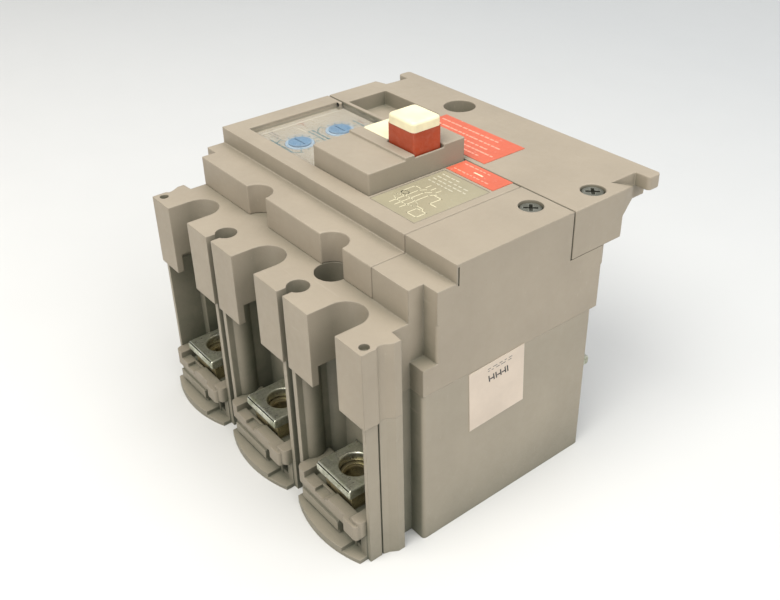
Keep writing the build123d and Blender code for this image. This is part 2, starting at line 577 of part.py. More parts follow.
def dial(y):
    """Setting dial with its collar, shaft and driver slot."""
    body = post(DIAL_X, y, PANEL_Z + 0.15, PANEL_Z + 0.7, DIAL_COLLAR_R)
    body += post(DIAL_X, y, PANEL_Z + 0.15, WINDOW_Z0 - 0.1, DIAL_R)
    body += post(DIAL_X, y, BOARD_Z1 + 3.0, PANEL_Z + 0.5, DIAL_SHAFT_R)
    body -= block(DIAL_X - 2.6, DIAL_X + 2.6, y - 0.35, y + 0.35, PANEL_Z + 0.75, TOP_Z)
    return body


def label(x0, x1, y0, y1, z):
    """Thin sticker lying on or in the top."""
    return block(x0, x1, y0, y1, z, z + LABEL_T)


def side_label(y0, y1, z0, z1):
    """Sticker on the right side, turned a little about its upper near corner."""
    sticker = block(HALF, HALF + LABEL_T, 0, y1 - y0, z0 - z1, 0)
    return Pos(0, y0, z1) * Rot(SIDE_LABEL_TILT, 0, 0) * sticker


def reset_button():
    """Red push button, standing out of its surround in the tripped state."""
    body = block(RESET_X0, RESET_X1, RESET_Y0, RESET_Y1, RESET_FOOT_Z, RESET_CAP_Z)
    body = fillet(upright_edges(body), 0.5)
    middle_x, middle_y = (RESET_X0 + RESET_X1) / 2, (RESET_Y0 + RESET_Y1) / 2
    body += post(middle_x, middle_y, RESET_STEM_Z, RESET_FOOT_Z, RESET_STEM_R)
    return body


def reset_cap():
    """Cream cap on the reset button."""
    over = 0.12
    x0, x1 = RESET_X0 - over, RESET_X1 + over
    body = block(x0, x1, RESET_Y0 - over, RESET_Y1 + over, RESET_CAP_Z, RESET_TOP_Z)
    body = fillet(upright_edges(body), 1.4)
    return fillet(top_edges(body), 0.9)


def test_button():
    """Flat cream test button with a square stem."""
    body = block(TEST_X0, TEST_X1, TEST_Y0, TEST_Y1, TEST_TOP_Z - TEST_T, TEST_TOP_Z)
    body = fillet(upright_edges(body), 1.2)
    body = fillet(top_edges(body), 0.4)
    x, y = (TEST_X0 + TEST_X1) / 2, (TEST_Y0 + TEST_Y1) / 2
    half = TEST_STEM_HALF
    return body + block(x - half, x + half, y - half, y + half, TEST_STEM_Z, TEST_TOP_Z - EPS)


# ---------------------------------------------------------------- terminals and conductors
def busbar(pole):
    """Flat conductor: cable pad in front, stab for the breaker at the back."""
    body = block(pole - BAR_HALF, pole + BAR_HALF, BAR_FRONT_Y, BAR_END_Y, BAR_Z, BAR_TOP_Z)
    body = chamfer(body.edges().filter_by(Axis.X), 0.5)
    body -= post(pole, PAD_HOLE_Y, BAR_Z - EPS, BAR_TOP_Z + EPS, PAD_HOLE_R)
    body -= post(pole, STAB_HOLE_Y, BAR_Z - EPS, BAR_TOP_Z + EPS, PAD_HOLE_R)
    return body


def terminal_nut(pole):
    """Square nut below the cable pad."""
    y0, y1 = PAD_HOLE_Y - NUT_HALF, PAD_HOLE_Y + NUT_HALF
    body = block(pole - NUT_HALF, pole + NUT_HALF, y0, y1, NUT_Z, BAR_Z)
    body = chamfer(top_edges(body), 0.4)
    body -= post(pole, PAD_HOLE_Y, NUT_Z - EPS, BAR_Z + EPS, NUT_THREAD_R)
    return body


def terminal_cage(pole):
    """Moulded tray that holds the terminal nut."""
    left, right = chamber_sides(pole)
    left += CAGE_PLAY
    right -= CAGE_PLAY
    body = block(left, right, CAGE_Y, CAGE_BACK_Y, SILL_Z, CAGE_Z)
    body = fillet(upright_edges(body).group_by(Axis.Y)[0], 1.6)
    body -= block(left + CAGE_ARM, right - CAGE_ARM, CAGE_FRONT_Y, CAGE_BACK_Y + EPS, NUT_Z, CAGE_Z + EPS)
    # front wall, lower on the left, with a key notch
    front_y0 = CAGE_Y - EPS
    body -= block(left + CAGE_ARM, pole, front_y0, CAGE_FRONT_Y + EPS, CAGE_LEFT_Z, CAGE_Z + EPS)
    body -= block(pole - EPS, right - CAGE_ARM, front_y0, CAGE_FRONT_Y + EPS, CAGE_RIGHT_Z, CAGE_Z + EPS)
    key_x0, key_x1, key_z = CAGE_KEY
    body -= block(pole + key_x0, pole + key_x1, front_y0, CAGE_FRONT_Y - 0.6, key_z, CAGE_Z)
    for x in (-POLE_PITCH / 2, POLE_PITCH / 2):
        body -= post(x, SLOT_EYE_Y, 0, CAGE_Z + EPS, SLOT_BEAD_R + CAGE_PLAY)
    # rounded post at the right arm's front
    knob = block(pole + CAGE_POST_X0, pole + CAGE_POST_X1, CAGE_Y - 0.9, 0.3, CAGE_POST_Z, CAGE_RIGHT_Z)
    return body + fillet(upright_edges(knob).group_by(Axis.Y)[0], 1.1)


def connection_screws():
    """Captive socket-head screws in the three stabs."""
    screws = []
    for pole in POLES:
        thread = post(pole, STAB_HOLE_Y, LINE_SCREW_Z0, LINE_SCREW_Z1, LINE_SCREW_R)
        thread = chamfer(thread.edges().group_by(Axis.Z)[0], 0.8)
        neck = post(pole, STAB_HOLE_Y, LINE_SCREW_Z1, BAR_TOP_Z, LINE_NECK_R)
        head = post(pole, STAB_HOLE_Y, BAR_TOP_Z, BAR_TOP_Z + LINE_HEAD_T, LINE_HEAD_R)
        head = chamfer(top_edges(head), 0.5)
        hexagon = RegularPolygon(LINE_SOCKET_R, 6)
        socket = Pos(pole, STAB_HOLE_Y, BAR_TOP_Z + LINE_HEAD_T / 2) * extrude(hexagon, amount=LINE_HEAD_T)
        screws.append(thread + neck + head - socket)
    return group(screws)


# ---------------------------------------------------------------- fasteners
def case_screws():
    """Four self-tapping screws from below."""
    screws = []
    for x, y in CASE_SCREWS:
        head = post(x, y, CASE_HEAD_Z0, CASE_HEAD_Z1, CASE_HEAD_R)
        shank = post(x, y, CASE_HEAD_Z1, CASE_SCREW_END_Z, CASE_SCREW_R)
        screws.append(head + shank - cross_recess(x, y, 0, CASE_HEAD_Z0 + 1.0, 1.7, 0))
    return group(screws)


def cover_screw(x, y):
    """Cross-head screw driven from above."""
    face_z = TOP_Z - COVER_HEAD_SINK
    head = post(x, y, face_z - COVER_HEAD_T, face_z, COVER_HEAD_R)
    head = fillet(top_edges(head), 0.5)
    shank = post(x, y, COVER_SCREW_END_Z, face_z - COVER_HEAD_T, COVER_SHANK_R)
    return head + shank - cross_recess(x, y, face_z - COVER_RECESS, face_z + EPS, 1.9, 45)


# ---------------------------------------------------------------- inside
def toroid_core():
    """Long ring core of the summation current transformer."""
    body = block(-CORE_HALF, CORE_HALF, CORE_Y0, CORE_Y1, CORE_Z0, CORE_Z1)
    body = fillet(body.edges().filter_by(Axis.Y), 4.0)
    hole = block(-CORE_HALF + CORE_LIMB, CORE_HALF - CORE_LIMB, CORE_Y0 - EPS, CORE_Y1 + EPS,
                 CORE_Z0 + CORE_LIMB, CORE_Z1 - CORE_LIMB)
    return body - fillet(hole.edges().filter_by(Axis.Y), 2.0)


def toroid_winding():
    """Secondary coils on the core's upper limb."""
    coils = []
    for x in (-17.5, 17.5):
        coil = block(x - 11, x + 11, CORE_Y0 - 1.4, CORE_Y1 + 1.4, CORE_Z1 - CORE_LIMB - 1.4, CORE_Z1 + 1.4)
        coil = fillet(coil.edges().filter_by(Axis.X), 1.2)
        coils.append(coil - block(x - 12, x + 12, CORE_Y0, CORE_Y1, CORE_Z1 - CORE_LIMB, CORE_Z1))
    return group(coils)


def circuit_board():
    """Board under the setting dials."""
    return block(BOARD_X0, BOARD_X1, BOARD_Y0 + 3, BOARD_Y1, BOARD_Z0, BOARD_Z1)


def board_rails():
    """Moulded rails that hold the board in the upper case."""
    low = block(BOARD_X0, BOARD_X1, BOARD_Y1 - 2.5, BOARD_Y1 + 1.5, BOARD_Z0 - 3, BOARD_Z0)
    low += block(BOARD_X0, BOARD_X1, BOARD_Y0 + 3, BOARD_Y0 + 5.5, BOARD_Z0 - 3, BOARD_Z0)
    low += block(-HALF + WALL - 0.5, BOARD_X0 + 2.0, BOARD_Y0 + 3, BOARD_Y1 + 1.5, BOARD_Z0 - 3, BOARD_Z0)
    return low


def board_components():
    """Electrolytic capacitors, chip and film capacitors on the board."""
    parts = []
    for x, y, radius, height in ((-44.0, 30.5, 3.0, 7.5), (-37.0, 30.5, 3.0, 7.5), (-22.0, 30.0, 2.4, 6.0)):
        can = post(x, y, BOARD_Z1, BOARD_Z1 + height, radius)
        parts.append(fillet(top_edges(can), 0.5))
    parts.append(block(-23.5, -18.5, 38.0, 46.0, BOARD_Z1, BOARD_Z1 + 1.8))
    parts.append(block(-46.5, -41.0, 40.0, 47.0, BOARD_Z1, BOARD_Z1 + 5.0))
    parts.append(block(-46.5, -41.0, 50.0, 57.0, BOARD_Z1, BOARD_Z1 + 5.0))
    return group(parts)


def rotary_switches():
    """Setting switches that the dials turn."""
    switches = []
    for y in DIAL_YS:
        body = block(DIAL_X - 5, DIAL_X + 5, y - 5, y + 5, BOARD_Z1, SWITCH_TOP_Z)
        body -= post(DIAL_X, y, BOARD_Z1 + 2.6, SWITCH_TOP_Z + EPS, DIAL_SHAFT_R + RUNNING)
        switches.append(body)
    return group(switches)


def mechanism_frame():
    """Tray under the button surround that seats the springs and carries the relay."""
    body = block(-13.0, RELAY_X1, 43.0, 62.4, FRAME_Z0, FRAME_Z1)
    for x0 in (-15.0, 12.9):
        body += block(x0, x0 + 2.3, 44.0, 61.5, FRAME_Z0, FLANGE_Z)
    return body


def trip_relay():
    """Magnetic latch relay below the tray."""
    body = block(RELAY_X0, RELAY_X1, RELAY_Y0, RELAY_Y1, RELAY_Z0, FRAME_Z0)
    body -= rod_y(PLUNGER_X, RELAY_Y1 - 7.0, RELAY_Y1 + EPS, PLUNGER_Z, PLUNGER_R + RUNNING)
    return body


def relay_plunger():
    """Plunger that the relay releases onto the trip lever."""
    body = rod_y(PLUNGER_X, RELAY_Y1 - 4.0, PLUNGER_END_Y, PLUNGER_Z, PLUNGER_R)
    return body + rod_y(PLUNGER_X, PLUNGER_END_Y - 1.5, PLUNGER_END_Y, PLUNGER_Z, 2.4)


def trip_lever():
    """Lever from the relay to the breaker's trip bar."""
    body = rod_x(LEVER_X0, LEVER_X1, LEVER_Y, LEVER_Z, LEVER_HUB_R)
    body += block(PLUNGER_X - 3, PLUNGER_X + 3, LEVER_Y - 1.5, LEVER_Y + 1.5, LEVER_Z, PLUNGER_Z + 3.5)
    body += block(LEVER_X0, LEVER_X0 + 6, LEVER_Y, LEVER_TIP_Y, LEVER_Z - 1.3, LEVER_Z + 1.7)
    return body - rod_x(LEVER_X0 - EPS, LEVER_X1 + EPS, LEVER_Y, LEVER_Z, LEVER_PIN_R + RUNNING)


def lever_pin():
    """Steel pivot pin of the trip lever."""
    return rod_x(LEVER_X0 - 2.5, LEVER_X1 + 2.5, LEVER_Y, LEVER_Z, LEVER_PIN_R)


# ---------------------------------------------------------------- assembly
reset_mid = ((RESET_X0 + RESET_X1) / 2, (RESET_Y0 + RESET_Y1) / 2)
test_mid = ((TEST_X0 + TEST_X1) / 2, (TEST_Y0 + TEST_Y1) / 2)

nodes = {
    "base_housing": base_housing(),
    "upper_housing": upper_housing() + board_rails(),
    "front_cover": front_cover(),
    "far_cover": far_cover(),
    "button_surround": button_surround(),
    "dial_panel": dial_panel(),
    "settings_window": settings_window(),
    "dial_sensitivity": dial(DIAL_YS[0]),
    "dial_delay": dial(DIAL_YS[1]),
    "diagram_label": label(*DIAGRAM_LABEL, TOP_Z - LABEL_SINK),
    "warning_label_small": label(*SMALL_WARNING, TOP_Z),
    "warning_label_large": label(*LARGE_WARNING, TOP_Z),
    "side_label": side_label(*SIDE_LABEL),
    "reset_button": reset_button(),
    "reset_cap": reset_cap(),
    "reset_spring": coil_spring(*reset_mid, FRAME_Z1, RESET_FOOT_Z, 3.2, 0.35, 5),
    "test_button": test_button(),
    "test_spring": coil_spring(*test_mid, FRAME_Z1, TEST_STEM_Z, 1.8, 0.25, 6),
    "strip_screw": cover_screw(*STRIP_SCREW),
    "far_cover_screw": cover_screw(*COVER_SCREW),
    "case_screws": case_screws(),
    "connection_screws": connection_screws(),
    "toroid_core": toroid_core(),
    "toroid_winding": toroid_winding(),
    "circuit_board": circuit_board(),
    "board_components": board_components(),
    "rotary_switches": rotary_switches(),
    "mechanism_frame": mechanism_frame(),
    "trip_relay": trip_relay(),
    "relay_plunger": relay_plunger(),
    "trip_lever": trip_lever(),
    "lever_pin": lever_pin(),
}
for number, pole in enumerate(POLES, start=1):
    nodes[f"busbar_{number}"] = busbar(pole)
    nodes[f"terminal_nut_{number}"] = terminal_nut(pole)
    nodes[f"terminal_cage_{number}"] = terminal_cage(pole)

os.makedirs("parts", exist_ok=True)
for name, shape in nodes.items():
    export_step(place(shape), f"parts/{name}.step")
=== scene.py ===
"""Looks of the earth leakage module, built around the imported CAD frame. Metres, row frame."""
import math
import random

import bmesh
import bpy
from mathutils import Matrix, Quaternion, Vector


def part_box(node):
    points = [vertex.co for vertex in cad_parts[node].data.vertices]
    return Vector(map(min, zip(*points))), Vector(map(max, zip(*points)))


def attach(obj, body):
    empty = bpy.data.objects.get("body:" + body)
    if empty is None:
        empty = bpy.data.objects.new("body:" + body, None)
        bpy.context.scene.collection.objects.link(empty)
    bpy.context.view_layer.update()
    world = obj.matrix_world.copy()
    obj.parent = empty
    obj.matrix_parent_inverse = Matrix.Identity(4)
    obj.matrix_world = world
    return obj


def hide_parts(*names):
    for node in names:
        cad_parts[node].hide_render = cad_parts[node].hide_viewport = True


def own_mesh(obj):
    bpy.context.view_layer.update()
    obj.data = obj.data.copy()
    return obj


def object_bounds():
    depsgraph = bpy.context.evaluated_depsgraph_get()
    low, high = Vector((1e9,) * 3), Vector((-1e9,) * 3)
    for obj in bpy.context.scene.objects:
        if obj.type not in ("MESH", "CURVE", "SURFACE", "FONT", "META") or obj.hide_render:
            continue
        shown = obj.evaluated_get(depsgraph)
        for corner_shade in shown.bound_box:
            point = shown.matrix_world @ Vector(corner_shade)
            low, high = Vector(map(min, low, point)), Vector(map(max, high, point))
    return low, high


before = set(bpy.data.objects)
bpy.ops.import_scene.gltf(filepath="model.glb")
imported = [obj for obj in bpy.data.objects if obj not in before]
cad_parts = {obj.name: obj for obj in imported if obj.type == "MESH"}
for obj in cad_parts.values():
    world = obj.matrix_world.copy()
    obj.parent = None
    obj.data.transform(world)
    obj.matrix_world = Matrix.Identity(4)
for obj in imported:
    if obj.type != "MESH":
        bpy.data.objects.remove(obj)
cad_low, cad_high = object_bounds()

MM = 0.001
MODULE = "module"                  # the body that everything fixed belongs to

# camera, as the solved viewpoint: degrees, metres and millimetres of focal length
AZIMUTH, ELEVATION, ROLL = 52.445, 31.073, -1.48
TARGET = Vector((-0.01124, 0.008434, 0.040))
DISTANCE = 0.290665
LENS = 43.62
SHIFT_X, SHIFT_Y = 0.0034, -0.0482

# millimetres, row frame
SIDE_LABEL_CORNER = (-16.35, 46.8)  # Y and Z of the side sticker's upper near corner
SIDE_LABEL_TILT = 2.2               # degrees
COLLAR_DROP = 0.5                   # from a dial's face down to its collar
COLLAR_R0, COLLAR_R1 = 3.5, 4.22    # flat ring of the collar
SCALE_R = 4.9                       # inner end of the scales' strokes around the dials
SCALE_ARC_R = 6.6
NUT_BORE_R = 3.35
NUT_THREAD_DEPTH = 0.42
SCREW_ROW_Y = 35.05                 # the captive screws' row
SCREW_R = 4.0
SCREW_FOOT_Z = 7.5
SCREW_THREAD_DEPTH = 0.3
THREAD_GAP = 0.02                   # a thread's roots stand this far off the plain bore or shank
FLOOR_GAP = 0.02                    # the floor lies this far below the mounting plane
FLOOR_HALF = 4.0                    # half the side of the floor, in metres
RESET_WIRE_R, RESET_TURNS = 0.35, 5
TEST_WIRE_R, TEST_TURNS = 0.25, 6


# ---------------------------------------------------------------- material graphs
class Graph:
    """Node tree of one material, with its shader and object-space coordinates."""

    def __init__(self, name):
        self.material = bpy.data.materials.new(name)
        self.material.use_nodes = True
        self.tree = self.material.node_tree
        self.shader = self.tree.nodes["Principled BSDF"]
        self.place = self.add("ShaderNodeTexCoord").outputs["Object"]

    def add(self, kind, **settings):
        node = self.tree.nodes.new(kind)
        for key, value in settings.items():
            setattr(node, key, value)
        return node

    def link(self, source, target):
        self.tree.links.new(source, target)

    def stretched(self, scale):
        """Object coordinates scaled unevenly, for brushed or streaked looks."""
        mapping = self.add("ShaderNodeMapping")
        mapping.inputs["Scale"].default_value = scale
        self.link(self.place, mapping.inputs["Vector"])
        return mapping.outputs["Vector"]

    def noise(self, size_mm, detail=4.0, roughness=0.55, place=None):
        """Noise whose blotches are about size_mm across."""
        node = self.add("ShaderNodeTexNoise")
        node.inputs["Scale"].default_value = 1.0 / (size_mm * MM)
        node.inputs["Detail"].default_value = detail
        node.inputs["Roughness"].default_value = roughness
        self.link(place or self.place, node.inputs["Vector"])
        return node.outputs["Fac"]

    def cells(self, size_mm, feature="F1", place=None):
        """Voronoi distance, for specks and pits."""
        node = self.add("ShaderNodeTexVoronoi", feature=feature)
        node.inputs["Scale"].default_value = 1.0 / (size_mm * MM)
        self.link(place or self.place, node.inputs["Vector"])
        return node.outputs["Distance"]

    def spread(self, source, low, high, to_low, to_high):
        """Map the range low..high of a value onto to_low..to_high, clamped."""
        node = self.add("ShaderNodeMapRange")
        for socket, value in zip(("From Min", "From Max", "To Min", "To Max"), (low, high, to_low, to_high)):
            node.inputs[socket].default_value = value
        self.link(source, node.inputs["Value"])
        return node.outputs["Result"]

    def maths(self, operation, first, second=0.0):
        node = self.add("ShaderNodeMath", operation=operation)
        for socket, value in zip(node.inputs, (first, second)):
            if isinstance(value, (int, float)):
                socket.default_value = value
            else:
                self.link(value, socket)
        return node.outputs["Value"]

    def mix(self, factor, first, second, blend="MIX"):
        """Mix two colours, each a colour tuple or a socket."""
        node = self.add("ShaderNodeMix", data_type="RGBA", blend_type=blend)
        sockets = [s for s in node.inputs if s.type == "RGBA"]
        if isinstance(factor, (int, float)):
            node.inputs["Factor"].default_value = factor
        else:
            self.link(factor, node.inputs["Factor"])
        for socket, value in zip(sockets, (first, second)):
            if isinstance(value, tuple):
                socket.default_value = (*value, 1.0)
            else:
                self.link(value, socket)
        return next(s for s in node.outputs if s.type == "RGBA")

    def edges(self, radius_mm):
        """About 1 on sharp edges, 0 on flats."""
        bevel = self.add("ShaderNodeBevel", samples=4)
        bevel.inputs["Radius"].default_value = radius_mm * MM
        normal = self.add("ShaderNodeNewGeometry").outputs["Normal"]
        dot = self.add("ShaderNodeVectorMath", operation="DOT_PRODUCT")
        self.link(bevel.outputs["Normal"], dot.inputs[0])
        self.link(normal, dot.inputs[1])
        return self.spread(dot.outputs["Value"], 0.995, 0.86, 0.0, 1.0)

    def open_air(self, reach_mm, alone=False):
        """Ambient occlusion: 1 in the open, 0 deep in a corner, of this piece alone if asked."""
        node = self.add("ShaderNodeAmbientOcclusion", samples=6, only_local=alone)
        node.inputs["Distance"].default_value = reach_mm * MM
        return node.outputs["AO"]

    def bump(self, heights, rounding_mm=0.0):
        """Chain of bumps from (height socket, strength, distance in mm), over rounded edges if asked."""
        before = None
        if rounding_mm:
            bevel = self.add("ShaderNodeBevel", samples=6)
            bevel.inputs["Radius"].default_value = rounding_mm * MM
            before = bevel.outputs["Normal"]
        for height, strength, distance_mm in heights:
            node = self.add("ShaderNodeBump")
            node.inputs["Strength"].default_value = strength
            node.inputs["Distance"].default_value = distance_mm * MM
            self.link(height, node.inputs["Height"])
            if before is not None:
                self.link(before, node.inputs["Normal"])
            before = node.outputs["Normal"]
        self.link(before, self.shader.inputs["Normal"])

    def finish(self, colour, roughness, metallic=0.0, **values):
        """Connect colour and roughness, and set the rest on the shader itself."""
        self.link(colour, self.shader.inputs["Base Color"])
        self.link(roughness, self.shader.inputs["Roughness"])
        self.shader.inputs["Metallic"].default_value = metallic
        for key, value in values.items():
            self.shader.inputs[key].default_value = value
        return self.material


def shade(colour, factor):
    return tuple(min(1.0, channel * factor) for channel in colour)


def moulded_plastic(name, colour, roughness=0.55, worn_and_highlight=(0.70, 0.64, 0.54), grime_and_shade=(0.16, 0.15, 0.11),
                    edge_wear_and_highlight=0.55, grime_and_shade_amount=0.5, speck=0.25, hollow_shade=0.62, alone=False):
    """Fine-grained moulding: blotches, flow streaks, specks, edges lighter from wear and painted highlight,
    grime and painted shade in tight corners, painted shade in deep hollows.
    """
    g = Graph(name)
    blotch = g.spread(g.noise(24, 5.0), 0.3, 0.7, 0.0, 1.0)
    tone = g.mix(blotch, shade(colour, 0.93), shade(colour, 1.05))
    streak = g.spread(g.noise(9, 6.0, 0.65, g.stretched((1.0, 1.0, 0.25))), 0.45, 0.75, 0.0, 0.35)
    tone = g.mix(streak, tone, shade(colour, 0.88))
    fibre = g.spread(g.cells(1.3), 0.04, 0.16, 1.0, 0.0)
    fibre = g.maths("MULTIPLY", fibre, g.spread(g.noise(5.0, 2.0), 0.5, 0.62, 0.0, speck))
    tone = g.mix(fibre, tone, shade(colour, 0.6))
    # edges lighter: partly rubbed wear, partly a painted highlight along every sharp edge
    rub = g.spread(g.noise(3.5, 5.0), 0.42, 0.7, 0.1, 1.0)
    edge_highlight = g.maths("MULTIPLY", g.maths("MULTIPLY", g.edges(0.45), rub), edge_wear_and_highlight)
    tone = g.mix(edge_highlight, tone, worn_and_highlight)
    # grime and painted shade: darker in tight corners, by ambient occlusion
    corner_shade = g.spread(g.open_air(5.0, alone), 0.25, 0.85, 1.0, 0.0)
    corner_shade = g.maths("MULTIPLY", corner_shade, g.spread(g.noise(4.0, 5.0), 0.3, 0.65, 0.35, 1.0))
    tone = g.mix(g.maths("MULTIPLY", corner_shade, grime_and_shade_amount), tone, grime_and_shade)
    # painted shade: deep hollows turn dark green, by ambient occlusion
    painted_hollow_shade = g.spread(g.open_air(40.0, alone), 0.22, 0.72, hollow_shade, 0.0)
    painted_hollow_shade = g.maths("MULTIPLY", painted_hollow_shade, g.spread(g.noise(7.0, 5.0, 0.65), 0.3, 0.62, 0.75, 1.0))
    tone = g.mix(painted_hollow_shade, tone, (0.085, 0.098, 0.066))
    scratch = g.spread(g.noise(0.9, 2.0, 0.5, g.stretched((0.06, 1.0, 0.5))), 0.70, 0.76, 0.0, 0.14)
    tone = g.mix(scratch, tone, worn_and_highlight)
    rough = g.spread(g.noise(2.2, 6.0, 0.7), 0.3, 0.7, roughness - 0.09, roughness + 0.1)
    grain = g.noise(0.28, 3.0, 0.6)
    wave = g.noise(7.0, 3.0)
    g.bump([(wave, 0.12, 0.25), (grain, 0.22, 0.06), (scratch, 0.15, 0.03)], rounding_mm=0.45)
    return g.finish(tone, rough, **{"Specular IOR Level": 0.38, "IOR": 1.5})


def glossy_plastic(name, colour, roughness=0.3, dust=0.15):
    """Smooth coloured moulding with faint dust and fine scratches, painted highlights on its edges and
    painted shade in tight corners.
    """
    g = Graph(name)
    tone = g.mix(g.spread(g.noise(6, 4.0), 0.3, 0.7, 0.0, 1.0), shade(colour, 0.88), shade(colour, 1.08))
    settled = g.maths("MULTIPLY", g.spread(g.noise(1.6, 6.0, 0.7), 0.45, 0.7, 0.0, 1.0), dust)
    tone = g.mix(settled, tone, (0.80, 0.76, 0.68))
    # painted highlight: every sharp edge lightened
    edge_highlight = g.maths("MULTIPLY", g.edges(0.3), 0.4)
    tone = g.mix(edge_highlight, tone, tuple(0.5 * c + 0.45 for c in colour))
    # painted shade: darker in tight corners, by ambient occlusion
    corner_shade = g.spread(g.open_air(2.0), 0.3, 0.8, 0.35, 0.0)
    tone = g.mix(corner_shade, tone, shade(colour, 0.35))
    scratch = g.spread(g.noise(0.7, 2.0, 0.5, g.stretched((0.08, 1.0, 0.4))), 0.62, 0.7, 0.0, 1.0)
    rough = g.spread(g.maths("ADD", g.noise(1.8, 5.0, 0.7), g.maths("MULTIPLY", scratch, 0.3)),
                     0.3, 0.9, roughness - 0.06, roughness + 0.18)
    g.bump([(g.noise(3.0, 3.0), 0.1, 0.1), (scratch, 0.12, 0.02), (g.noise(0.25, 2.0), 0.08, 0.03)])
    return g.finish(tone, rough, **{"Coat Weight": 0.12, "Coat Roughness": 0.25})


def printed_film(name, colour, roughness=0.42, wear=0.3):
    """Label film: flat print, slightly faded and rubbed, with an orange-peel surface."""
    g = Graph(name)
    fade = g.spread(g.noise(11, 5.0), 0.3, 0.72, 0.0, 1.0)
    tone = g.mix(fade, shade(colour, 0.92), shade(colour, 1.07))
    rubbed = g.maths("MULTIPLY", g.spread(g.noise(1.4, 6.0, 0.7), 0.6, 0.72, 0.0, 1.0), wear)
    tone = g.mix(rubbed, tone, tuple(0.6 * c + 0.34 for c in colour))
    dot = g.spread(g.cells(1.7), 0.03, 0.1, 0.5, 0.0)
    tone = g.mix(g.maths("MULTIPLY", dot, wear), tone, shade(colour, 0.5))
    rough = g.spread(g.noise(1.5, 5.0, 0.7), 0.3, 0.7, roughness - 0.08, roughness + 0.14)
    g.bump([(g.noise(1.2, 3.0), 0.1, 0.05), (g.noise(0.3, 2.0), 0.06, 0.02)])
    return g.finish(tone, rough)


def plated_metal(name, colour, tarnish, roughness=0.28, brushed=(1.0, 0.06, 1.0), amount=0.55):
    """Plated or bare metal with drawing marks, dull blotches, painted highlights on the edges and painted
    shade in tight corners.
    """
    g = Graph(name)
    dull = g.spread(g.noise(3.2, 6.0, 0.68), 0.38, 0.66, 0.0, amount)
    tone = g.mix(dull, colour, tarnish)
    fleck = g.spread(g.cells(0.8), 0.04, 0.14, 0.6, 0.0)
    fleck = g.maths("MULTIPLY", fleck, g.spread(g.noise(2.4), 0.48, 0.6, 0.0, 1.0))
    tone = g.mix(fleck, tone, shade(tarnish, 0.55))
    # painted highlight: edges lightened well past the plating colour
    tone = g.mix(g.maths("MULTIPLY", g.edges(0.5), 0.9), tone, shade(colour, 1.45))
    # painted shade: darker towards tarnish in tight corners, by ambient occlusion
    tone = g.mix(g.spread(g.open_air(2.5), 0.25, 0.8, 0.6, 0.0), tone, shade(tarnish, 0.4))
    lines = g.noise(0.22, 3.0, 0.6, g.stretched(brushed))
    rough = g.maths("ADD", g.spread(lines, 0.3, 0.7, roughness - 0.08, roughness + 0.1),
                    g.maths("MULTIPLY", dull, 0.35))
    g.bump([(lines, 0.12, 0.03), (g.noise(1.1, 4.0), 0.12, 0.05)])
    return g.finish(tone, rough, metallic=0.9)


def clear_plastic(name):
    """Clear moulded window with fine scratches and a little haze."""
    g = Graph(name)
    haze = g.spread(g.noise(4.0, 5.0, 0.65), 0.4, 0.75, 0.0, 1.0)
    tone = g.mix(haze, (0.97, 0.985, 0.97), (0.90, 0.92, 0.89))
    scratch = g.spread(g.noise(0.6, 2.0, 0.5, g.stretched((0.1, 1.0, 0.4))), 0.64, 0.7, 0.0, 0.3)
    rough = g.spread(g.maths("ADD", g.maths("MULTIPLY", haze, 0.25), scratch), 0.0, 0.6, 0.03, 0.2)
    g.bump([(g.noise(5.0, 2.0), 0.06, 0.05), (scratch, 0.08, 0.01)])
    return g.finish(tone, rough, **{"Transmission Weight": 1.0, "IOR": 1.49, "Alpha": 0.18})


def wound_wire(name, colour):
    """Enamelled copper wire wound in close turns."""
    g = Graph(name)
    wave = g.add("ShaderNodeTexWave", wave_type="BANDS", bands_direction="X")
    wave.inputs["Scale"].default_value = 450.0
    wave.inputs["Distortion"].default_value = 0.6
    g.link(g.place, wave.inputs["Vector"])
    turns = wave.outputs["Fac"]
    # painted shade: the enamel darkened in bands between the turns
    tone = g.mix(turns, shade(colour, 0.45), colour)
    tone = g.mix(g.spread(g.noise(2.0, 4.0), 0.5, 0.8, 0.0, 0.4), tone, shade(colour, 1.4))
    rough = g.spread(g.noise(1.0, 3.0), 0.3, 0.7, 0.22, 0.4)
    g.bump([(turns, 0.6, 0.25)])
    return g.finish(tone, rough, metallic=0.5, **{"Coat Weight": 0.3})


def floor_paint(name):
    """Pale matt backdrop, a little greyer towards the back: painted shade, for the light falling off."""
    g = Graph(name)
    split = g.add("ShaderNodeSeparateXYZ")
    g.link(g.place, split.inputs["Vector"])
    # painted shade: greyer towards the back
    back = g.spread(split.outputs["Y"], -0.12, 0.35, 0.0, 1.0)
    tone = g.mix(back, (0.68, 0.675, 0.65), (0.56, 0.572, 0.57))
    tone = g.mix(g.spread(g.noise(180, 3.0), 0.3, 0.7, 0.0, 0.04), tone, (0.75, 0.75, 0.75))
    rough = g.spread(g.noise(20, 3.0), 0.3, 0.7, 0.55, 0.7)
    return g.finish(tone, rough)


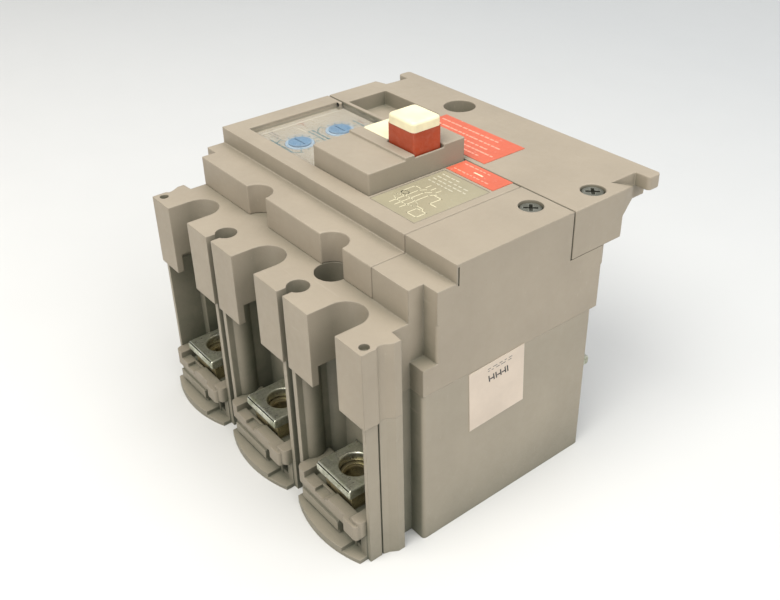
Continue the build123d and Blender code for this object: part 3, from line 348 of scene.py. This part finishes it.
BEIGE = (0.350, 0.298, 0.226)
PALE_BEIGE = (0.50, 0.44, 0.35)
looks = {
    "case": moulded_plastic("case_plastic", BEIGE, worn_and_highlight=PALE_BEIGE),
    "cover": moulded_plastic("cover_plastic", BEIGE, worn_and_highlight=PALE_BEIGE, alone=True),
    # painted shade: the base and the cages are darker copies of the case plastic, with deeper painted hollow
    # shade
    "base": moulded_plastic("base_plastic_shaded", (0.335, 0.292, 0.222), worn_and_highlight=PALE_BEIGE, hollow_shade=0.88),
    "cage": moulded_plastic("cage_plastic", shade(BEIGE, 0.92), worn_and_highlight=PALE_BEIGE, grime_and_shade_amount=0.6, hollow_shade=0.8),
    # painted shade: the surround is a slightly dimmed copy of the case plastic, against the strong light on
    # its top
    "surround": moulded_plastic("surround_plastic_dimmed", shade(BEIGE, 0.98), worn_and_highlight=PALE_BEIGE, grime_and_shade_amount=0.35,
                                hollow_shade=0.45),
    "panel": printed_film("panel_print", (0.41, 0.36, 0.275), 0.45),
    "window": clear_plastic("window_plastic"),
    "dial": glossy_plastic("dial_blue", (0.14, 0.31, 0.49), 0.34),
    "khaki": printed_film("khaki_film", (0.335, 0.30, 0.20)),
    "coral": printed_film("coral_film", (0.60, 0.128, 0.068), wear=0.5),
    "cream_film": printed_film("cream_film", (0.62, 0.52, 0.42), 0.55, wear=0.2),
    "red": glossy_plastic("button_red", (0.405, 0.056, 0.016), 0.36, dust=0.04),
    "cream": glossy_plastic("button_cream", (0.87, 0.79, 0.52), 0.38, dust=0.03),
    "spring": plated_metal("spring_wire", (0.60, 0.60, 0.60), (0.35, 0.34, 0.32), 0.3),
    "screw": plated_metal("screw_steel", (0.30, 0.30, 0.25), (0.10, 0.10, 0.08), 0.42, amount=0.85),
    "plate": plated_metal("tin_plate", (0.64, 0.64, 0.54), (0.25, 0.26, 0.17), 0.24, amount=0.95),
    "brass": plated_metal("brass_nut", (0.58, 0.50, 0.30), (0.22, 0.18, 0.10), 0.26),
    "iron": plated_metal("core_iron", (0.20, 0.20, 0.21), (0.10, 0.09, 0.09), 0.5, (0.05, 0.05, 1.0)),
    "coil": wound_wire("coil_copper", (0.60, 0.22, 0.08)),
    "board": glossy_plastic("board_green", (0.03, 0.16, 0.06), 0.35),
    "parts": glossy_plastic("component_dark", (0.03, 0.03, 0.035), 0.4),
    "black": moulded_plastic("frame_black", (0.035, 0.035, 0.035), worn_and_highlight=(0.16, 0.16, 0.16), grime_and_shade_amount=0.2),
    "white": moulded_plastic("lever_white", (0.62, 0.60, 0.54), worn_and_highlight=(0.8, 0.78, 0.72), grime_and_shade_amount=0.3),
    "bright": plated_metal("captive_thread", (0.42, 0.42, 0.40), (0.20, 0.19, 0.17), 0.3, amount=0.6),
    "pale_coral_ink": printed_film("pale_coral_ink", (0.82, 0.34, 0.24), 0.45, wear=0.5),
    "faint_ink": printed_film("faint_ink", (0.52, 0.49, 0.37), 0.5, wear=0.5),
    "grey_ink": printed_film("grey_ink", (0.17, 0.16, 0.14), 0.5, wear=0.25),
    "cream_highlight_ink": printed_film("cream_highlight_ink", (0.66, 0.60, 0.47), 0.5, wear=0.25),
    "pale_ink": printed_film("pale_ink", (0.66, 0.61, 0.42), 0.5, wear=0.35),
    "dark_ink": printed_film("dark_ink", (0.05, 0.045, 0.04), 0.5, wear=0.3),
    "blue_ink": printed_film("blue_ink", (0.045, 0.16, 0.18), 0.5, wear=0.15),
    "brown_ink": printed_film("brown_ink", (0.30, 0.13, 0.07), 0.5, wear=0.3),
    "collar": glossy_plastic("collar_blue", (0.44, 0.59, 0.73), 0.36),
}

node_looks = {
    "case": ["upper_housing", "far_cover"],
    "cover": ["front_cover"],
    "base": ["base_housing"],
    "surround": ["button_surround"],
    "cage": [f"terminal_cage_{n}" for n in (1, 2, 3)],
    "plate": [f"busbar_{n}" for n in (1, 2, 3)],
    "brass": [f"terminal_nut_{n}" for n in (1, 2, 3)],
    "panel": ["dial_panel"],
    "window": ["settings_window"],
    "dial": ["dial_sensitivity", "dial_delay"],
    "khaki": ["diagram_label"],
    "coral": ["warning_label_small", "warning_label_large"],
    "cream_film": ["side_label"],
    "red": ["reset_button"],
    "cream": ["reset_cap", "test_button"],
    "spring": ["reset_spring", "test_spring", "relay_plunger", "lever_pin"],
    "screw": ["strip_screw", "far_cover_screw", "case_screws", "connection_screws"],
    "iron": ["toroid_core"],
    "coil": ["toroid_winding"],
    "board": ["circuit_board"],
    "parts": ["board_components", "rotary_switches", "trip_relay"],
    "black": ["mechanism_frame"],
    "white": ["trip_lever"],
}
for look, names in node_looks.items():
    for name in names:
        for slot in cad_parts[name].material_slots:
            slot.material = looks[look]


# ---------------------------------------------------------------- softened edges
def soften(node, width_mm, segments=2, angle=40):
    """Round the sharp edges of a CAD node with modifiers, which leave its mesh alone."""
    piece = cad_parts[node]
    weld = piece.modifiers.new("weld", "WELD")
    weld.merge_threshold = 1e-6
    flat = piece.modifiers.new("flat", "DECIMATE")
    flat.decimate_type = "DISSOLVE"
    flat.angle_limit = math.radians(0.5)
    bevel = piece.modifiers.new("bevel", "BEVEL")
    bevel.width = width_mm * MM
    bevel.segments = segments
    bevel.limit_method = "ANGLE"
    bevel.angle_limit = math.radians(angle)
    bevel.use_clamp_overlap = False
    weighted = piece.modifiers.new("weighted", "WEIGHTED_NORMAL")
    weighted.mode = "FACE_AREA"
    weighted.weight = 80


for node in ("front_cover", "far_cover"):
    soften(node, 0.3)
soften("button_surround", 0.25)
for number in (1, 2, 3):
    soften(f"busbar_{number}", 0.5)


# ---------------------------------------------------------------- printed marks and small trim
def add_piece(name, bm, look, body):
    """Turn a bmesh into a piece that rides on a body."""
    bmesh.ops.recalc_face_normals(bm, faces=bm.faces)
    mesh = bpy.data.meshes.new(name)
    bm.to_mesh(mesh)
    bm.free()
    mesh.materials.append(looks[look])
    piece = bpy.data.objects.new(name, mesh)
    bpy.context.scene.collection.objects.link(piece)
    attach(piece, body)
    return piece


def marks(name, strokes, place, look, width_mm=0.3, height_mm=0.02):
    """Thin printed strokes; place() maps flat millimetres and a height to the row frame."""
    bm = bmesh.new()
    half = width_mm / 2
    for stroke in strokes:
        for (u0, v0), (u1, v1) in zip(stroke, stroke[1:]):
            run = math.hypot(u1 - u0, v1 - v0)
            a, b = (u1 - u0) / run * half, (v1 - v0) / run * half
            flat = ((u0 - a + b, v0 - b - a), (u1 + a + b, v1 + b - a),
                    (u1 + a - b, v1 + b + a), (u0 - a - b, v0 - b + a))
            low = [bm.verts.new(place(u, v, 0.0)) for u, v in flat]
            high = [bm.verts.new(place(u, v, height_mm)) for u, v in flat]
            bm.faces.new(high)
            for i in range(4):
                j = (i + 1) % 4
                bm.faces.new((low[i], low[j], high[j], high[i]))
    return add_piece(name, bm, look, MODULE)


def lathe(name, centre, profile, look, body=MODULE, steps=56):
    """Surface turned about an upright axis from (radius, height) pairs in millimetres."""
    bm = bmesh.new()
    rings = []
    for radius, height in profile:
        ring = []
        for i in range(steps):
            angle = 2 * math.pi * i / steps
            offset = Vector((radius * math.cos(angle), radius * math.sin(angle), height)) * MM
            ring.append(bm.verts.new(centre + offset))
        rings.append(ring)
    for lower, upper in zip(rings, rings[1:]):
        for i in range(steps):
            j = (i + 1) % steps
            bm.faces.new((lower[i], lower[j], upper[j], upper[i])).smooth = True
    return add_piece(name, bm, look, body)


def on_top(node):
    """Placing function for the upper face of a flat node, from its low X and low Y corner."""
    low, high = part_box(node)

    def place(u, v, height):
        return Vector((low.x + u * MM, low.y + v * MM, high.z + height * MM))
    return place


def dashes(rows, u0, u1, seed):
    """Rows of broken strokes that stand for lines of print."""
    draw = random.Random(seed)
    strokes = []
    for v, fill in rows:
        u = u0
        end = u0 + (u1 - u0) * fill
        while u < end - 0.4:
            length = min(draw.uniform(0.3, 1.3), end - u)
            strokes.append([(u, v), (u + length, v)])
            u += length + draw.uniform(0.75, 1.2)
    return strokes


def circle(u, v, radius_u, radius_v, start=0, end=360, steps=24):
    points = []
    for i in range(steps + 1):
        angle = math.radians(start + (end - start) * i / steps)
        points.append((u + radius_u * math.cos(angle), v + radius_v * math.sin(angle)))
    return points


def label_prints():
    """Generic marks on the four stickers."""
    place = on_top("diagram_label")
    wires = [[(u, 2.6), (u, 12.2), (u + 1.1, 13.8)] for u in (4.6, 6.6, 8.6)]
    wires += [[(u + 0.1, 14.6), (u + 0.1, 16.2)] for u in (4.6, 6.6, 8.6)]
    wires.append(circle(6.6, 6.2, 4.3, 1.6))
    wires.append([(10.9, 6.2), (13.6, 6.2), (13.6, 5.4)])
    wires.append([(12.0, 5.4), (15.4, 5.4), (15.4, 2.2), (12.0, 2.2), (12.0, 5.4)])
    wires.append([(2.0, 8.8), (2.0, 13.2), (4.0, 13.2)])
    wires.append(circle(3.2, 8.8, 1.2, 0.9))
    wires.append([(9.7, 13.2), (12.2, 13.2), (12.2, 9.4), (14.6, 9.4)])
    marks("diagram_wires", wires, place, "pale_ink", 0.26)
    rows = [(18.2, 0.62), (19.8, 0.9), (21.4, 0.8), (23.2, 0.5)]
    marks("diagram_print", dashes(rows, 1.6, 16.2, 3), place, "faint_ink", 0.42)
    place = on_top("warning_label_large")
    rows = [(2.3, 0.92), (4.6, 1.0), (6.9, 0.86), (9.6, 0.95), (12.6, 0.8)]
    marks("large_label_print", dashes(rows, 1.8, 31.2, 5), place, "pale_coral_ink", 0.62)
    place = on_top("warning_label_small")
    marks("small_label_bar", [[(7.4, 3.7), (10.2, 3.7)]], place, "pale_ink", 0.55)
    rows = [(1.7, 0.9), (5.7, 0.7)]
    marks("small_label_print", dashes(rows, 1.6, 16.4, 7), place, "pale_coral_ink", 0.4)
    # the sticker on the side, turned a little about its upper near corner
    _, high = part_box("side_label")
    corner_y, corner_z = SIDE_LABEL_CORNER
    turn = math.radians(SIDE_LABEL_TILT)

    def on_side(u, v, height):
        y = corner_y + u * math.cos(turn) - v * math.sin(turn)
        z = corner_z + u * math.sin(turn) + v * math.cos(turn)
        return Vector((high.x + height * MM, y * MM, z * MM))
    faint = dashes([(-1.6, 1.0), (-2.3, 0.9)], 6.4, 15.6, 11)
    marks("side_label_print", faint, on_side, "grey_ink", 0.26, 0.01)
    blocks = [[(u, -4.0), (u + 0.25, -5.6)] for u in (6.6, 8.2, 9.0, 10.6, 12.2, 13.0)]
    blocks += [[(u, -5.0), (u + 0.9, -5.0)] for u in (7.2, 9.7, 11.3)]
    marks("side_label_bars", blocks, on_side, "dark_ink", 0.42, 0.01)


def panel_prints():
    """Scales, collars and marks on the plate under the window."""
    low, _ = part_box("dial_panel")
    place = on_top("dial_panel")
    ticks = []
    for name in ("dial_sensitivity", "dial_delay"):
        first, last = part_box(name)
        centre = (first + last) / 2
        u, v = (centre.x - low.x) / MM, (centre.y - low.y) / MM
        for step in range(-5, 6):
            angle = math.radians(90 - 24 * step)
            a, b = math.cos(angle), math.sin(angle)
            reach = 6.1 if step % 5 == 0 else 5.6
            ticks.append([(u + SCALE_R * a, v + SCALE_R * b), (u + reach * a, v + reach * b)])
        ticks.append(circle(u, v, SCALE_ARC_R, SCALE_ARC_R, 205, 255, 8))
        ticks.append(circle(u, v, SCALE_ARC_R, SCALE_ARC_R, -75, -25, 8))
        foot = Vector((centre.x, centre.y, 0.0))
        top = (last.z - COLLAR_DROP * MM) / MM
        outline = [
            (COLLAR_R0 - 0.08, top + 0.02),
            (COLLAR_R0, top + 0.07),
            (COLLAR_R1, top + 0.07),
            (COLLAR_R1 + 0.11, top),
            (COLLAR_R1 + 0.11, top - 0.4),
        ]
        lathe(f"collar_{name}", foot, outline, "collar", name)
    marks("dial_scales", ticks, place, "blue_ink", 0.3)
    teal = dashes([(14.4, 1.0), (15.7, 0.8)], 10.0, 21.0, 13) + dashes([(29.4, 0.8)], 12.0, 22.0, 17)
    teal += dashes([(2.4, 0.9)], 8.0, 20.0, 19)
    marks("panel_teal_print", teal, place, "blue_ink", 0.6)
    dark = dashes([(4.6, 1.0), (5.6, 0.7)], 3.0, 8.6, 23) + [[(29.6, 21.0), (31.0, 23.6)]]
    marks("panel_dark_print", dark, place, "grey_ink", 0.42)
    marks("panel_brown_print", [[(2.9, 15.0), (3.4, 16.4), (4.8, 16.0)], [(13.0, 30.6), (15.4, 30.6)]],
          place, "brown_ink", 0.42)
    # painted highlight: the long stroke stands for light caught on the window's edge
    marks("panel_edge_highlight_and_print", [[(2.3, 2.6), (2.3, 30.8)], [(5.2, 13.2), (9.2, 13.7)]],
          place, "cream_highlight_ink", 0.34)


def thread_profile(z0, z1, inner, outer, pitch=1.25):
    """Saw-tooth outline of a thread between two heights."""
    profile = []
    turns = int((z1 - z0) / pitch)
    for i in range(turns):
        profile.append((inner, z0 + i * pitch))
        profile.append((outer, z0 + (i + 0.5) * pitch))
    profile.append((inner, z0 + turns * pitch))
    return profile


def threads():
    """Threads in the terminal nuts and on the captive screws."""
    for number in (1, 2, 3):
        low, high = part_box(f"terminal_nut_{number}")
        centre = (low + high) / 2
        foot = Vector((centre.x, centre.y, 0.0))
        root, crest = NUT_BORE_R + THREAD_GAP, NUT_BORE_R - NUT_THREAD_DEPTH
        bore = thread_profile(low.z / MM + 0.2, high.z / MM, root, crest)
        lathe(f"nut_thread_{number}", foot, bore, "brass")
        low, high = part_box(f"busbar_{number}")
        foot = Vector(((low.x + high.x) / 2, SCREW_ROW_Y * MM, 0.0))
        root, crest = SCREW_R - THREAD_GAP, SCREW_R + SCREW_THREAD_DEPTH
        shank = thread_profile(SCREW_FOOT_Z, low.z / MM - 0.6, root, crest)
        lathe(f"captive_thread_{number}", foot, shank, "bright")


def coil_spring(name, node, wire_mm, turns, steps=24, sides=8):
    """Wire coil in the place of a CAD spring."""
    low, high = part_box(node)
    centre = (low + high) / 2
    wire = wire_mm * MM
    radius = (high.x - low.x) / 2 - wire
    z0, z1 = low.z + wire, high.z - wire
    bm = bmesh.new()
    rings = []
    for i in range(turns * steps + 1):
        angle = 2 * math.pi * i / steps
        outward = Vector((math.cos(angle), math.sin(angle), 0.0))
        middle = Vector((centre.x, centre.y, z0 + (z1 - z0) * i / (turns * steps))) + outward * radius
        ring = []
        for j in range(sides):
            around = 2 * math.pi * j / sides
            lift = Vector((0.0, 0.0, wire * math.sin(around)))
            ring.append(bm.verts.new(middle + outward * wire * math.cos(around) + lift))
        rings.append(ring)
    for lower, upper in zip(rings, rings[1:]):
        for j in range(sides):
            k = (j + 1) % sides
            bm.faces.new((lower[j], lower[k], upper[k], upper[j])).smooth = True
    bm.faces.new(rings[0])
    bm.faces.new(rings[-1])
    piece = add_piece(name, bm, "spring", MODULE)
    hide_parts(node)
    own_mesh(piece)


# ---------------------------------------------------------------- stage, light and camera
def make_floor():
    mesh = bpy.data.meshes.new("floor")
    bm = bmesh.new()
    bmesh.ops.create_grid(bm, x_segments=2, y_segments=2, size=FLOOR_HALF)
    bm.to_mesh(mesh)
    bm.free()
    floor = bpy.data.objects.new("floor", mesh)
    floor.location.z = cad_low.z - FLOOR_GAP * MM
    mesh.materials.append(floor_paint("floor_paint"))
    bpy.context.scene.collection.objects.link(floor)


def view_axes(azimuth, elevation):
    """Unit vector towards the viewer for an azimuth and elevation in degrees."""
    a, e = math.radians(azimuth), math.radians(elevation)
    return Vector((math.sin(a) * math.cos(e), -math.cos(a) * math.cos(e), math.sin(e)))


def area_light(name, azimuth, elevation, distance, size, power, colour):
    data = bpy.data.lights.new(name, "AREA")
    data.shape = "DISK"
    data.size = size
    data.energy = power
    data.color = colour
    lamp = bpy.data.objects.new(name, data)
    towards = view_axes(azimuth, elevation)
    lamp.location = TARGET + towards * distance
    lamp.rotation_mode = "QUATERNION"
    lamp.rotation_quaternion = towards.to_track_quat("Z", "Y")
    bpy.context.scene.collection.objects.link(lamp)


def make_lights():
    world = bpy.data.worlds.new("studio")
    world.use_nodes = True
    background = world.node_tree.nodes["Background"]
    background.inputs["Color"].default_value = (0.95, 0.97, 1.0, 1.0)
    background.inputs["Strength"].default_value = 0.50
    bpy.context.scene.world = world
    area_light("key", 10, 60, 1.0, 0.7, 8.6, (1.0, 0.97, 0.92))
    area_light("fill", 100, 40, 1.3, 1.0, 7.0, (0.97, 0.98, 1.0))
    area_light("top", 150, 75, 1.1, 0.9, 4.2, (1.0, 1.0, 1.0))


def make_camera():
    data = bpy.data.cameras.new("camera")
    data.lens = LENS
    data.sensor_width = 36.0
    data.shift_x = SHIFT_X
    data.shift_y = SHIFT_Y
    data.clip_start = 0.01
    camera = bpy.data.objects.new("camera", data)
    back = view_axes(AZIMUTH, ELEVATION)
    camera.location = TARGET + back * DISTANCE
    camera.rotation_mode = "QUATERNION"
    upright = (-back).to_track_quat("-Z", "Y")
    roll = Vector((0.0, 0.0, 1.0))
    camera.rotation_quaternion = upright @ Quaternion(roll, math.radians(ROLL))
    bpy.context.scene.collection.objects.link(camera)
    bpy.context.scene.camera = camera


label_prints()
panel_prints()
threads()
coil_spring("reset_coil", "reset_spring", RESET_WIRE_R, RESET_TURNS)
coil_spring("test_coil", "test_spring", TEST_WIRE_R, TEST_TURNS)
make_floor()
make_lights()
make_camera()
bpy.context.scene.view_settings.view_transform = "Standard"
